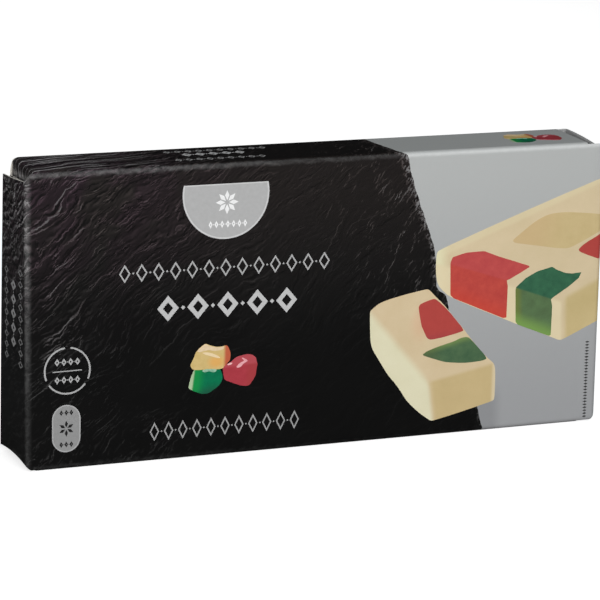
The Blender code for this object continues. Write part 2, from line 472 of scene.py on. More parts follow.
def flap_plan(end, side, behind, fold, width):
    """The flap's outer face in plan. side is -1 for a flap from the front panel and 1 from the back.

    Each row holds x, y, the place across the blank, the turn as clearance reads it, and the outward normal.
    """
    face = LENGTH / 2 - behind
    panel = DEPTH / 2
    meets = LENGTH / 2 - end_setback(end, side * panel) - UPRIGHT_FOLD - LEG_LAP
    plan = [(meets - LEG_HIDDEN, panel - LEG_SUNK, -1.0, 0, 1), (meets, panel + LEG_RISE, -1.0, 0, 1)]
    for step in range(FOLD_STEPS + 1):
        angle = QUARTER * step / FOLD_STEPS
        x, y = face - fold + fold * math.sin(angle), panel - fold + fold * math.cos(angle)
        rise = LEG_RISE * (1 - step / FOLD_STEPS)
        plan.append((x, y + rise, step / FOLD_STEPS - 1, math.sin(angle), math.cos(angle)))
    for share in (SHOULDER / width, *np.linspace(0, 1, FLAP_STEPS + 1)[1:]):
        plan.append((face, panel - fold - width * share, share, 1, 0))
    plan = np.array(plan)
    lengths = np.linalg.norm(np.diff(plan[:, :2], axis=0), axis=1)
    across = meets - lengths[0] + np.concatenate([[0], np.cumsum(lengths)])
    x, y, turned, facing_x, facing_y = plan.T
    return np.stack([end * x, side * y, end * across, turned, end * facing_x, side * facing_y], 1)


def back_place(height):
    """The height on the blank of a point on the back panel."""
    return HEIGHT - LONG_FOLD + 2 * LONG_ARC + NARROW_FLAT + (HEIGHT - LONG_FOLD - height)


def plain_mesh(piece, name):
    """The plain mesh that an object's modifiers make. The object itself is removed."""
    evaluated = piece.evaluated_get(bpy.context.evaluated_depsgraph_get())
    mesh = bpy.data.meshes.new_from_object(evaluated)
    piece.modifiers.clear()
    bpy.data.objects.remove(piece)
    mesh.name = name
    return mesh


def board_sheet(name, points, places, outward):
    """A sheet of board with its thickness: the printed face, the raw inside and the raw cut edges."""
    mesh = grid_mesh(name, points, places)
    mesh.materials.append(None)
    mesh.materials.append(None)
    blank_piece = new_object(name + "_flat", mesh)
    if mesh.polygons[0].normal.dot(outward) < 0:
        mesh.flip_normals()
    thickness = blank_piece.modifiers.new("board", "SOLIDIFY")
    thickness.thickness = BOARD
    thickness.offset = -1.0
    thickness.use_even_offset = True
    thickness.material_offset = 1
    thickness.material_offset_rim = 1
    solid = plain_mesh(blank_piece, name)
    solid.shade_smooth()
    solid.set_sharp_from_angle(angle=BOARD_SHARP)
    return as_piece(name, solid)


def inside_long_fold(height):
    """How far the surface of the front or back panel lies inside its plane where a long fold curves."""
    over = max(0.0, LONG_FOLD - height, height - HEIGHT + LONG_FOLD)
    return LONG_FOLD - math.sqrt(LONG_FOLD**2 - over**2)


def flap_piece(name, end, side, plan, top_clear, bottom_clear, free_gap=(0, 0), lean=0):
    """One flap. free_gap is how much its free edge gives up, at the bottom and top, and lean is how far
    its fold leans in at the top. The board that still lies in its panel follows the panel's long folds."""
    points, places = [], []
    for share in FLAP_SHARES:
        for x, y, across, turned, facing_x, facing_y in plan:
            low = clearance(bottom_clear, turned)
            height = low + (HEIGHT - clearance(top_clear, turned) - low) * share
            gap = free_gap[0] + (free_gap[1] - free_gap[0]) * (height / HEIGHT) ** GAP_CURVE
            leaned = -end * lean * MM * height / HEIGHT
            sunk = inside_long_fold(height) * max(0.0, -turned)
            shifted_y = side * gap * MM * max(0.0, turned)
            x_here = x + leaned * min(1.0, 1.0 - turned) - facing_x * sunk
            points.append((x_here, y + shifted_y - facing_y * sunk, height))
            places.append((across + leaned, height if side < 0 else back_place(height)))
    shape = (len(FLAP_SHARES), len(plan))
    points = np.array(points).reshape(*shape, 3)
    places = np.array(places).reshape(*shape, 2)
    return board_sheet(name, points, places, Vector((0, side, 0)))


FLAPS = {}
for end, word in ((-1, "left"), (1, "right")):
    closing_plan = flap_plan(end, -1, 0, CLOSING_FOLD, DEPTH - CLOSING_FOLD)
    FLAPS["closing", end] = flap_piece(
        f"closing_flap_{word}", end, -1, closing_plan,
        CLOSING_TOP_CLEAR[end], CLOSING_BOTTOM_CLEAR[end], CLOSING_FREE_GAP[end],
    )
    inner_plan = flap_plan(end, 1, BOARD - GLUED, INNER_FOLD, INNER_WIDTH)
    FLAPS["inner", end] = flap_piece(
        f"inner_flap_{word}", end, 1, inner_plan,
        INNER_TOP_CLEAR[end], INNER_BOTTOM_CLEAR[end], lean=INNER_LEAN[end],
    )
print("flaps:", {piece.name: len(piece.data.polygons) for piece in FLAPS.values()})

# %% [markdown]
# ## The glued seam
#
# A sleeve is closed by gluing the back panel over a narrow glue flap that bends up from the bottom panel.
# Its lower edge is a cut, so it stays flat where the fold behind it curves away. One narrow strip of board,
# sunk into the back panel at its upper side, shows just that edge.

# %% Build the seam
SEAM_RISE, SEAM_TOP, SEAM_SINK, SEAM_STEPS = 0.6 * MM, 2.2 * MM, 1.2 * MM, 30


def seam_piece():
    reach = [LENGTH / 2 - DUST_FLAP_BEHIND[end][1] - UPRIGHT_FOLD for end in (-1, 1)]
    profile = [
        (DEPTH / 2 + LEG_RISE, SEAM_RISE),
        (DEPTH / 2 + LEG_RISE, SEAM_TOP),
        (DEPTH / 2 - LEG_SUNK, SEAM_TOP + SEAM_SINK),
    ]
    x = np.linspace(-reach[0], reach[1], SEAM_STEPS)
    points = np.array([[(along, y, z) for along in x] for y, z in profile])
    places = np.array([[(along, back_place(z)) for along in x] for y, z in profile])
    return board_sheet("seam_lap", points, places, Vector((0, 1, 0)))


seam = seam_piece()
print("seam:", len(seam.data.polygons), "faces")

# %% [markdown]
# ## The slate's chipped edge
#
# The dark part of the print is a picture of a slate slab, and its edge is broken off in chips. The rough
# course of the edge is a curve over the blank: a Float Curve node holds the distance across for each height.
# Two noises push it in and out, one for the chips and one for the crumbs between them.

# %% Group: where the slate ends
SLATE_EDGE = [
    (-26.0, 136.9), (-8.0, 142.0), (1.0, 142.0), (7.6, 140.1), (24.3, 134.5), (37.1, 130.2), (42.7, 128.8),
    (44.4, 126.2), (45.7, 125.5), (52.5, 125.5), (59.9, 123.7), (69.9, 119.9), (78.5, 117.0), (85.6, 115.0),
    (86.6, 113.5), (107.9, 111.8), (118.0, 112.9), (138.0, 117.0), (160.0, 124.4), (182.0, 130.8),
    (196.0, 136.4),
]
EDGE_LOW, EDGE_SPAN, EDGE_ACROSS = -30.0, 240.0, 180.0


@shader_group("slate_edge", ["Beyond"], Place=None, Chips=1.1, Crumbs=0.5)
def slate_edge(place, chips, crumbs):
    """How far a place lies on the silver side of the slate's edge, in millimetres."""
    across, height = across_and_up(place)
    curve = node("ShaderNodeFloatCurve", {"Factor": 1.0, "Value": (height - EDGE_LOW) / EDGE_SPAN})
    mapping = curve.socket.node.mapping
    line = mapping.curves[0]
    for point_height, point_across in SLATE_EDGE:
        line.points.new((point_height - EDGE_LOW) / EDGE_SPAN, point_across / EDGE_ACROSS)
    for point in line.points:
        point.handle_type = "VECTOR"
    line.points[0].location = (0.0, SLATE_EDGE[0][1] / EDGE_ACROSS)
    line.points[len(line.points) - 1].location = (1.0, SLATE_EDGE[-1][1] / EDGE_ACROSS)
    mapping.update()
    edge = curve * EDGE_ACROSS - EDGE_ACROSS / 2
    edge = edge + (noise_of(place, 0.22, 2.0, 0.45) - 0.5) * chips
    edge = edge + (noise_of(place, 0.9, 3.0, 0.6) - 0.5) * crumbs
    return across - edge


# %% [markdown]
# ## Slate
#
# Split slate is nearly black, with thin torn ridges that run one way and catch the light. A plain noise
# looks like cloud, not like torn stone. Slate breaks in steps, so here a noise that is stretched along the
# grain is cut into terraces and compared with itself a little to one side. The difference is what a low
# light does to a relief: bright on one flank of a step, black on the other. Even lines look drawn, so other
# noises push the place about first, and patches let the lines come and go. A finer ridged noise fills the
# ground between the steps, and steep cracks and pale flecks gather towards the chipped edge. The picture is
# busy at the upper left, on the top and on the left end, and fades to black at the lower middle.


# %% Helpers: grain, a lit relief and patches
def grain_of(place, length, width, lean):
    """Coordinates stretched along the grain: one unit is a streak's length by its width."""
    inputs = {"Vector": place, "Rotation": (0, 0, math.radians(lean)), "Scale": (length, width, 1.0)}
    return node("ShaderNodeMapping", inputs, vector_type="TEXTURE")


def lit(relief, place, length, width, lean, shift):
    """A relief minus itself a little way off, as a low light from one side shows it."""
    here, there = (grain_of(spot, length, width, lean) for spot in (place, vector_of("ADD", place, shift)))
    return relief(here) - relief(there)


def lit_ridges(place, length, width, lean, shift, detail):
    def ridges(grain):
        return noise_of(grain, 1.0, detail, 0.55, "RIDGED_MULTIFRACTAL")

    return lit(ridges, place, length, width, lean, shift)


def lit_terraces(place, length, width, lean, shift, levels, sharp):
    """The same for a noise cut into terraces, whose steps are narrow: long torn lines."""

    def terraces(grain):
        climb = noise_of(grain, 1.0, 6.0, 0.58) * levels
        return math_of("FLOOR", climb) + step_of(math_of("FRACT", climb), 0.5 - sharp, 0.5 + sharp)

    return lit(terraces, place, length, width, lean, shift)


def wandering(place, *swings):
    """Moves a place about by noises, given as a frequency and how far they reach in millimetres."""
    moved = place
    for frequency, reach in swings:
        away = vector_of("SUBTRACT", noise_of(place, frequency, 2.0, 0.5, output=1), (0.5, 0.5, 0.5))
        moved = vector_of("ADD", moved, vector_of("MULTIPLY", away, (reach, reach, 0.0)))
    return moved


def patches_of(place, length, width, lean, start, end, low=0.0):
    """Where a picture's lines show: a stretched noise, from low to 1."""
    return step_of(noise_of(grain_of(place, length, width, lean), 1.0, 3.0, 0.6), start, end, low)


print("slate helpers are ready")

# %% The parts of the slate picture
# A step's numbers are two places on the blank in millimetres, then the values there. The terraced lines have
# three sizes, each with its lines, the patches that they show in, and their strength.
SLATE_LINES = [
    ((58.0, 9.0, 36.0, (0.19, -0.26, 0), 3.2, 0.030), (22, 8, 38, 0.46, 0.64, 0.06), 0.080),
    ((15.0, 3.4, 40.0, (0.17, -0.22, 0), 3.0, 0.045), (10, 6, 38, 0.49, 0.63, 0.04), 0.055),
    ((5.5, 1.6, 42.0, (0.14, -0.18, 0), 3.0, 0.09), (7, 5, 38, 0.46, 0.62, 0.06), 0.045),
]


def slate_contrast(across, height, beyond):
    """How strongly the relief shows: most at the upper left, least low in the middle."""
    front = step_of(height, 16.0, 88.0) * (step_of(across, 10.0, -84.0) * 1.05 + 0.10)
    column = step_of(across, -48.0, -84.0) * step_of(height, 2.0, 50.0, 0.12, 1.25)
    corner = step_of(across, -30.0, -60.0) * step_of(height, 22.0, 6.0, 0.0, 0.5)
    end_face = step_of(across, -88.0, -91.5) * step_of(height, 26.0, 80.0, 0.2, 1.6)
    front = front.at_least(column).at_least(corner) + 0.05 + end_face
    busy = mix_of(step_of(height, 85.2, 87.4), front, step_of(across, -8.0, -72.0, 0.12, 2.6))
    return busy.at_least(step_of(beyond, -5.0, -0.5) * step_of(height, 10, 56, 0.25, 0.9))


def slate_relief(place):
    """The lines over a ridged ground. A dark flank is half as strong as a bright one."""
    relief = lit_ridges(place, 3.4, 1.5, 36.0, (0.16, -0.20, 0), 4.0) * 0.080
    relief = relief + lit_ridges(place, 14.0, 5.0, 34.0, (0.6, -0.9, 0), 3.0) * 0.022
    for lines, patches, amount in SLATE_LINES:
        relief = relief + lit_terraces(place, *lines) * patches_of(place, *patches) * amount
    return relief.at_least(relief * 0.5)


def slate_top_lines(place, across, on_top):
    """Long flat lines that run along the top panel and over its left fold."""
    straighter = wandering(place, (0.018, 14.0), (0.10, 3.0), (0.42, 1.0), (1.5, 0.5))
    lines = lit_terraces(straighter, 42.0, 3.0, 16.0, (0.20, -0.75, 0), 5.0, 0.10)
    lines = lines * patches_of(straighter, 20, 5, 16, 0.34, 0.54, 0.25) * on_top
    return lines * step_of(across, -38.0, -82.0) * step_of(across, -88.0, -91.0, 0.42, 0.95)


def slate_end_lines(place, height, on_end):
    """Short broken lines on the left end, most of them near its top."""
    rougher = wandering(place, (0.5, 2.2), (1.3, 1.0))
    lines = lit_terraces(rougher, 6.0, 1.7, 22.0, (0.34, -0.34, 0), 3.0, 0.14)
    lines = lines * patches_of(rougher, 8, 4, 24, 0.38, 0.60, 0.3)
    return lines * on_end * step_of(height, 40.0, 80.0, 0.06, 1.0) * 0.48


def slate_flecks(place, height, beyond):
    """Pale flecks and steep cracks towards the chipped edge."""
    steep = lit_terraces(place, 4.2, 1.3, 58.0, (0.22, -0.14, 0), 3.0, 0.12).at_least(0.0)
    steep = steep * patches_of(place, 5, 3, 50, 0.52, 0.66) * 0.8
    cracks = lit_terraces(place, 24.0, 6.0, 63.0, (0.26, -0.11, 0), 3.0, 0.035).at_least(0.0)
    cracks = cracks * patches_of(place, 16, 6, 60, 0.50, 0.62) * 1.3
    return (steep + cracks) * step_of(beyond, -40.0, -8.0) * step_of(height, 16, 60, 0.15, 1.0) * 0.07


def slate_rim(place, height, beyond):
    """The pale broken rim along the chipped edge."""
    reach = step_of(height, 40.0, 84.0, -1.2, -3.2)
    rim = step_of(beyond, reach, -0.4) * step_of(height, 34.0, 62.0, 0.3, 1.0)
    return rim * patches_of(place, 1.5, 0.8, 62, 0.47, 0.62) * step_of(height, 86.4, 87.4, 0.17, 0.04)


print("slate lines:", len(SLATE_LINES), "sizes")


# %% Group: the slate picture
@shader_group("slate_stone", ["Color"], Place=None, Beyond=-50.0)
def slate_stone(place, beyond):
    across, height = across_and_up(place)
    on_top, on_end = step_of(height, 85.6, 87.6), step_of(across, -88.0, -91.0)
    left, high = step_of(across, -10.0, -80.0), step_of(height, 26.0, 84.0)
    torn = wandering(place, (0.018, 26.0), (0.085, 5.0), (0.42, 0.9), (1.6, 0.5))
    close = wandering(place, (0.35, 1.2), (1.6, 0.4))

    ground = high * 0.0082 + left * high * 0.0035 - left * 0.0028
    ground = ground + on_end * step_of(height, 20.0, 74.0) * 0.020
    ground = ground * mix_of(on_top, 1.0, step_of(across, -30.0, -80.0, 0.35, 3.0)) + 0.0028
    value = ground + slate_relief(torn) * slate_contrast(across, height, beyond)
    value = value + slate_top_lines(place, across, on_top) + slate_end_lines(torn, height, on_end)
    value = value + slate_flecks(close, height, beyond) + slate_rim(close, height, beyond)
    value = value.at_least(0.0022)

    purple = left * high * patches_of(close, 20, 12, 38, 0.36, 0.56) * 0.9
    tint = blend_of(high, (1.0, 0.99, 0.98, 1), (1.17, 0.95, 0.90, 1))
    tint = blend_of(purple, tint, (1.34, 0.80, 1.08, 1))
    tint = blend_of(step_of(value, 0.04, 0.10), tint, (1.03, 0.99, 1.0, 1))
    return blend_of(1.0, grey_of(value), tint, "MULTIPLY")


# %% [markdown]
# ## Silver grey, and pale folds: wear and painted highlight
#
# The other field is a flat silver grey that darkens towards the bottom, with a slight mottle from the press
# and a faint shadow at the foot of the pictured slice. On the crest of a fold the board is stretched, its
# varnish goes dull and the ink looks paler, and the rounded fold also catches the light. So the pale strip
# added there is partly wear and partly a painted highlight. It comes from the distance to the nearest fold
# on the blank, and a noise makes it a little uneven.

# %% Groups: silver ink and folds
FOLD_LINES = [
    (LONG_FOLD - LONG_ARC / 2) / MM,
    (HEIGHT - LONG_FOLD + LONG_ARC / 2) / MM,
    (HEIGHT - LONG_FOLD + 1.5 * LONG_ARC + NARROW_FLAT) / MM,
    (HEIGHT - LONG_FOLD + 2.5 * LONG_ARC + NARROW_FLAT + TALL_FLAT) / MM,
]
END_FOLD_LINE = (LENGTH / 2 - CLOSING_FOLD + CLOSING_FOLD * QUARTER / 2) / MM
# Strengths of the pale strip on the folds, which is partly wear and partly painted highlight
CREST_TOWARDS = (0.45, -0.45, 0.45, -0.45)
CREST_BLACK, CREST_SILVER, CREST_UPRIGHT = (0.024, 0.068), 0.130, (0.030, 0.096)


@shader_group("silver_ink", ["Color"], Place=None)
def silver_ink(place):
    across, height = across_and_up(place)
    share = step_of(height, -6.0, 92.0).at_most(step_of(height, 206.0, 104.0))
    share = share + (noise_of(place, 0.5, 4.0, 0.65) - 0.5) * 0.10
    silver = blend_of(share, tone(157, 158, 160), tone(180, 182, 181))
    foot = step_of(across, 59.0, 54.5) * step_of(height, 15.0, 8.5) * 0.35
    return blend_of(foot, silver, tone(112, 113, 116))


@shader_group("fold_wear_and_highlight", ["Crest"], Place=None, Silver=0.0)
def fold_wear_and_highlight(place, silver):
    """The paleness of a fold's crest, to add to its colour: partly wear and partly painted highlight."""
    across, height = across_and_up(place)
    ragged = (noise_of(place, 0.55, 4.0, 0.6) - 0.5) * step_of(silver, 0.0, 1.0, 2.4, 0.5)
    lying = abs(height - (FOLD_LINES[0] + CREST_TOWARDS[0]))
    for line, towards in zip(FOLD_LINES[1:], CREST_TOWARDS[1:]):
        lying = lying.at_most(abs(height - (line + towards)))
    upright = abs(abs(across) - (END_FOLD_LINE + 0.3))
    amount = mix_of(silver, step_of(across, 12.0, -60.0, *CREST_BLACK), CREST_SILVER)
    amount = amount * step_of(height, 8.0, 60.0, 0.25, 1.0)
    reach = step_of(across, 12.0, -60.0, 1.0, 1.35)
    lying_crest = step_of(lying + ragged, reach, -0.1) * amount
    upright_crest = step_of(upright + ragged * 0.3, 1.75, -0.1) * step_of(height, 4.0, 64.0, *CREST_UPRIGHT)
    # A noise that makes the wear and the painted highlight uneven along the fold
    rub_and_sheen = noise_of(place, 0.45, 6.0, 0.72)
    on_black, on_silver = step_of(rub_and_sheen, 0.34, 0.66, 0.40, 1.50), step_of(rub_and_sheen, 0.30, 0.70, 0.85, 1.10)
    return lying_crest.at_least(upright_crest) * mix_of(silver, on_black, on_silver)


print("fold lines on the blank:", [round(line, 2) for line in FOLD_LINES], round(END_FOLD_LINE, 2))

# %% [markdown]
# ## Two materials for the board
#
# The printed face takes slate and silver from the groups and mixes them at the chipped edge, and adds the
# pale fold crests, partly wear and partly painted highlight. The Principled shader stays in the material, and
# its even values are set on its own sockets. Raw board is what a cut edge and the inside show: pale grey pulp
# with fibres in layers. Towards the right end it turns a darker grey, which is painted shade.


# %% Materials: printed board and raw board
def painted(name, paint, uv_map=None, roughness=0.40, unevenness=0.08, specular=0.16):
    """A material whose colour is painted over a place in millimetres, on a UV map or in the object."""
    material = bpy.data.materials.new(name)
    material.use_nodes = True
    tree = material.node_tree
    shader = tree.nodes["Principled BSDF"].inputs
    if uv_map:
        source = node("ShaderNodeUVMap", {}, tree=tree, uv_map=uv_map)
    else:
        source = node("ShaderNodeTexCoord", {}, "Object", tree)
    place = node("ShaderNodeVectorMath", {0: source, "Scale": 1 / MM}, operation="SCALE")
    tooth = board_tooth(Place=place, Roughness=roughness, Unevenness=unevenness)
    names = ("Roughness", "Normal", "Base Color", "Specular IOR Level")
    for socket_name, value in zip(names, (*tooth, paint(place), specular)):
        fill(shader[socket_name], value)
    return material


def paint_print(place):
    beyond = slate_edge(Place=place)
    on_silver = step_of(beyond, -0.06, 0.06)
    colour = blend_of(on_silver, slate_stone(Place=place, Beyond=beyond), silver_ink(Place=place))
    # Adds the pale fold crests, partly wear and partly painted highlight
    return blend_of(1.0, colour, grey_of(fold_wear_and_highlight(Place=place, Silver=on_silver)), "ADD")


def paint_pulp_and_end_shade(place):
    layers = noise_of(grain_of(place, 6.0, 6.0, 0.0), 9.0, 4.0, 0.6)
    pulp = blend_of(layers, tone(206, 200, 190), tone(248, 244, 236))
    # Painted shade: the pulp turns a darker grey towards the right end
    return blend_of(step_of(across_and_up(place)[0], 60.0, 86.0), pulp, tone(168, 168, 168))


PRINTED = painted("printed_board", paint_print, "blank", 0.40, 0.10, 0.14)
RAW = painted("raw_board", paint_pulp_and_end_shade, None, 0.85, 0.06, 0.2)
sleeve.data.materials.append(PRINTED)
for piece in [*FLAPS.values(), seam]:
    piece.data.materials[0] = PRINTED
    piece.data.materials[1] = RAW
print("board materials:", PRINTED.name, RAW.name)

# %% [markdown]
# ## Layers of ink
#
# The picture of the sweets and the ornaments are printed over the two fields. They could be painted in the
# board's material, but a polygon in a shader takes many nodes, and its edge goes soft in a baked texture.
# So each field of ink is a very thin closed layer of its own, sunk a little into the board. Its outline is
# given in millimetres from the panel's lower left corner, and its corners are cut twice to round them. A
# panel function lays the layer on its panel. The front one also bends it round the right-hand fold.

# %% Helpers for layers of ink
INK_SUNK, INK_RISE, INK_STEP = 0.03, 0.03, 0.02
LONG, DEEP, TALL = LENGTH / MM, DEPTH / MM, HEIGHT / MM
FOLD_AT, FOLD_RADIUS = (LENGTH - CLOSING_FOLD) / MM, CLOSING_FOLD / MM
FOLD_END = FOLD_AT + FOLD_RADIUS * QUARTER
FOLD_CUTS = 8
CORNER_SHARE = 0.2
SAME_INK_PLACE = 1e-5
INK_SHARP = math.radians(30)


def front_panel(across, upward, rise):
    turned = np.clip(across - FOLD_AT, 0, None) / FOLD_RADIUS
    x = np.minimum(across, FOLD_AT) + (FOLD_RADIUS + rise) * np.sin(turned) - LONG / 2
    y = FOLD_RADIUS - (FOLD_RADIUS + rise) * np.cos(turned) - DEEP / 2
    return np.stack([x, y, upward], 1) * MM


def top_panel(across, inward, rise):
    return np.stack([across - LONG / 2, inward - DEEP / 2, TALL + rise], 1) * MM


def left_panel(inward, upward, rise):
    return np.stack([-LONG / 2 - rise, inward - DEEP / 2, upward], 1) * MM


def rounded(outline, share=CORNER_SHARE):
    """Cuts the corners of a closed outline twice."""
    points = np.array(outline, float)
    for _ in range(2):
        ahead = np.roll(points, -1, axis=0)
        points = np.stack([points + (ahead - points) * share, ahead + (points - ahead) * share], 1)
        points = points.reshape(-1, 2)
    return points


def ink_mesh(name, outlines, level=0):
    """A closed flat layer in picture millimetres. The outlines after the first are holes."""
    loops = [[Vector((x, y, 0)) for x, y in outline] for outline in outlines]
    heights = (-INK_SUNK, INK_RISE + INK_STEP * level)
    bm = bmesh.new()
    sheets = [[[bm.verts.new((p.x, p.y, z)) for p in loop] for loop in loops] for z in heights]
    for sheet in sheets:
        verts = [vert for loop in sheet for vert in loop]
        for triangle in tessellate_polygon(loops):
            bm.faces.new([verts[i] for i in triangle])
    for low, high in zip(*sheets):
        for i in range(len(low)):
            bm.faces.new((low[i - 1], low[i], high[i], high[i - 1]))
    for step in range(FOLD_CUTS + 1):
        place = (FOLD_AT + (FOLD_END - FOLD_AT) * step / FOLD_CUTS, 0, 0)
        everything = [*bm.verts, *bm.edges, *bm.faces]
        bmesh.ops.bisect_plane(bm, geom=everything, plane_co=place, plane_no=(1, 0, 0), dist=SAME_INK_PLACE)
    bmesh.ops.recalc_face_normals(bm, faces=bm.faces)
    mesh = bpy.data.meshes.new(name)
    bm.to_mesh(mesh)
    bm.free()
    return mesh


def lay_on(mesh, panel, move=None):
    """Lays a mesh in picture millimetres on a panel, and keeps the picture's places as a UV map."""
    points = np.empty(len(mesh.vertices) * 3)
    mesh.vertices.foreach_get("co", points)
    points = points.reshape(-1, 3)
    corners = np.empty(len(mesh.loops), dtype=int)
    mesh.loops.foreach_get("vertex_index", corners)
    picture = mesh.uv_layers.new(name="picture")
    picture.uv.foreach_set("vector", (points[corners, :2] * MM).astype(np.float32).ravel())
    across, upward, rise = points.T
    if move:
        across, upward = move(across, upward)
    mesh.vertices.foreach_set("co", panel(across, upward, rise).ravel())
    mesh.update()
    mesh.shade_smooth()
    mesh.set_sharp_from_angle(angle=INK_SHARP)


def ink_piece(name, outlines, material, panel=front_panel, level=0, move=None):
    mesh = ink_mesh(name, outlines, level)
    lay_on(mesh, panel, move)
    mesh.materials.append(material)
    return as_piece(name, mesh)


print("the fold bends ink from", round(FOLD_AT, 2), "to", round(FOLD_END, 2), "mm")

# %% [markdown]
# ## Shading in the pictures
#
# A printed picture of a solid thing has its light and shade in the ink. Two small groups draw them: one
# gives a soft edge along a line, the other a soft oval. A third mottles a colour, as jelly and almond
# paste look on paper, and every picture material uses some of them with its own values.


# %% Groups: soft side, soft spot, mottled ink
@shader_group("soft_side", ["Mask"], Place=None, Start=(0, 0, 0), Facing=(1, 0, 0), Softness=1.0)
def soft_side(place, start, facing, softness):
    distance = vector_of("DOT_PRODUCT", vector_of("SUBTRACT", place, start), facing, "Value")
    half = softness * 0.5
    return step_of(distance, half * -1.0, half)


@shader_group(
    "soft_spot", ["Mask"], Place=None, Centre=(0, 0, 0), Radii=(1, 1, 1), Turn=0.0, Inner=0.6
)
def soft_spot(place, centre, radii, turn, inner):
    turned = node("ShaderNodeCombineXYZ", {2: turn})
    inputs = {"Vector": place, "Location": centre, "Rotation": turned, "Scale": radii}
    local = node("ShaderNodeMapping", inputs, vector_type="TEXTURE")
    distance = node("ShaderNodeVectorMath", {0: local}, "Value", operation="LENGTH")
    return step_of(distance, 1.0, inner)


@shader_group(
    "mottled_ink", ["Color"], Place=None, Shade=(0, 0, 0, 1), Light=(1, 1, 1, 1), Coarse=0.35, Contrast=0.5
)
def mottled_ink(place, shade, light, coarse, contrast):
    swing = (noise_of(place, coarse, 4.0, 0.6) - 0.5) * 2.6 + (noise_of(place, 3.0, 2.0, 0.6) - 0.5) * 0.9
    return blend_of(math_of("ADD", swing * contrast, 0.5, clamp=True), shade, light)


def side_of(place, start, end, softness=1.0):
    """The mask to the left of a line from start to end, in picture millimetres."""
    way = Vector((end[0] - start[0], end[1] - start[1])).normalized()
    return soft_side(Place=place, Start=(*start, 0), Facing=(-way.y, way.x, 0), Softness=softness)


def between(place, *lines):
    """The mask to the left of two lines at once."""
    first, second = (side_of(place, *line) for line in lines)
    return first * second


def spot_of(place, centre, radii, turn=0.0, inner=0.4):
    turn = math.radians(turn)
    return soft_spot(Place=place, Centre=(*centre, 0), Radii=(*radii, 1), Turn=turn, Inner=inner)


def mottle_of(place, shade, light, coarse):
    return mottled_ink(Place=place, Shade=tone(*shade), Light=tone(*light), Coarse=coarse)


def coat(colour, mask, over):
    """Lays a second colour over the first where the mask says."""
    return blend_of(mask, colour, tone(*over))


print("picture helpers are ready")

# %% [markdown]
# ## The slice in the picture
#
# The front shows a cut slice of pale almond paste with red and green fruit jelly. It is a block seen from
# above, so it has three faces: a light one on the left, a warm one on top and a darker end. One outline
# carries all three, and the soft lines between them make its edges look rounded, as paste is when cut.

# %% Ink: the slice
SLICE = [
    (104.5, 39.1), (104.7, 39.7), (107.1, 41.5), (109.5, 42.4), (114.9, 43.6), (122.3, 44.9), (123.2, 44.7),
    (124.0, 44.0), (125.6, 42.3), (128.0, 40.1), (130.8, 36.7), (135.1, 31.7), (138.0, 28.0), (143.1, 22.4),
    (144.9, 21.0), (145.6, 19.6), (145.8, 16.8), (145.8, 10.9), (145.6, 9.4), (144.7, 9.0), (140.3, 7.9),
    (133.1, 6.2), (125.6, 4.6), (124.8, 4.8), (123.7, 5.5), (120.9, 7.6), (117.1, 11.2), (113.9, 16.1),
    (110.6, 19.9), (108.1, 23.9), (105.6, 27.8), (104.9, 30.2), (104.6, 34.6),
]
SLICE_RED = [
    (124.8, 41.9), (125.8, 41.5), (128.0, 39.6), (130.8, 36.7), (135.0, 31.7), (134.2, 31.2), (129.2, 30.1),
    (124.3, 29.4), (123.0, 30.0), (122.0, 32.1), (121.1, 33.9), (120.5, 36.8), (120.0, 39.5), (120.5, 40.6),
]
SLICE_GREEN = [
    (136.4, 29.5), (138.0, 28.0), (143.1, 22.4), (141.4, 21.8), (135.8, 21.5), (129.5, 22.2), (127.0, 23.0),
    (123.9, 24.1), (121.5, 25.0), (123.1, 26.1), (127.4, 27.4), (131.8, 28.4), (134.2, 29.4),
]


def paint_slice(place):
    top = mottle_of(place, (208, 186, 148), (219, 200, 166), 0.12)
    side = mottle_of(place, (218, 212, 178), (230, 225, 195), 0.12)
    end = mottle_of(place, (194, 172, 125), (207, 185, 138), 0.12)
    on_side = between(place, ((123.4, 17.1), (105.6, 37.9), 3.0), ((125.6, 4.9), (123.9, 17.1), 2.2))
    on_end = between(place, ((124.5, 17.1), (126.2, 4.9), 2.6), ((144.9, 20.6), (123.9, 16.5), 1.6))
    lit_rim = 1.0 - side_of(place, (144.7, 4.3), (144.8, 22.2), 1.2)
    colour = blend_of(on_end, blend_of(on_side, top, side), end)
    colour = coat(colour, lit_rim * on_end * 0.7, (222, 207, 176))
    red_glow = spot_of(place, (121.3, 35.2), (5.0, 8.0), -12, 0.2)
    return coat(colour, red_glow * 0.22, (226, 150, 120))


def paint_slice_red(place):
    """Red jelly, warmer in its lower half."""
    warm = side_of(place, (120.8, 30.8), (135.8, 30.7), 5.0)
    return coat(mottle_of(place, (148, 58, 62), (178, 76, 76), 0.30), warm * 0.6, (186, 74, 64))


def paint_slice_green(place):
    colour = mottle_of(place, (54, 86, 64), (90, 118, 82), 0.28)
    upper = 1.0 - side_of(place, (140.8, 29.6), (119.9, 24.7), 2.4)
    colour = coat(colour, upper * 0.75, (122, 146, 84))
    return coat(colour, side_of(place, (126.4, 20.3), (126.3, 30.3), 6.0) * 0.5, (84, 96, 62))


def picture_piece(name, outline, paint, level=1):
    """A piece of a picture with an ink of its own, which is given back."""
    ink = painted(name, paint, "picture")
    ink_piece(name, [outline], ink, level=level)
    return ink


picture_piece("slice_paste", rounded(SLICE), paint_slice, level=0)
slice_red = picture_piece("slice_red_jelly", rounded(SLICE_RED), paint_slice_red)
picture_piece("slice_green_jelly", rounded(SLICE_GREEN), paint_slice_green)
print("slice:", len(SLICE), "outline points")

# %% [markdown]
# ## The bar in the picture
#
# Behind the slice lies the rest of the bar. It leaves the picture at the right, so its layers run on to
# the end of the fold. Its pieces of jelly each show a top and a front face, so a line in the material parts
# the two. A pale piece of fruit in the top is nearly the paste's own colour, and has a layer of its own.

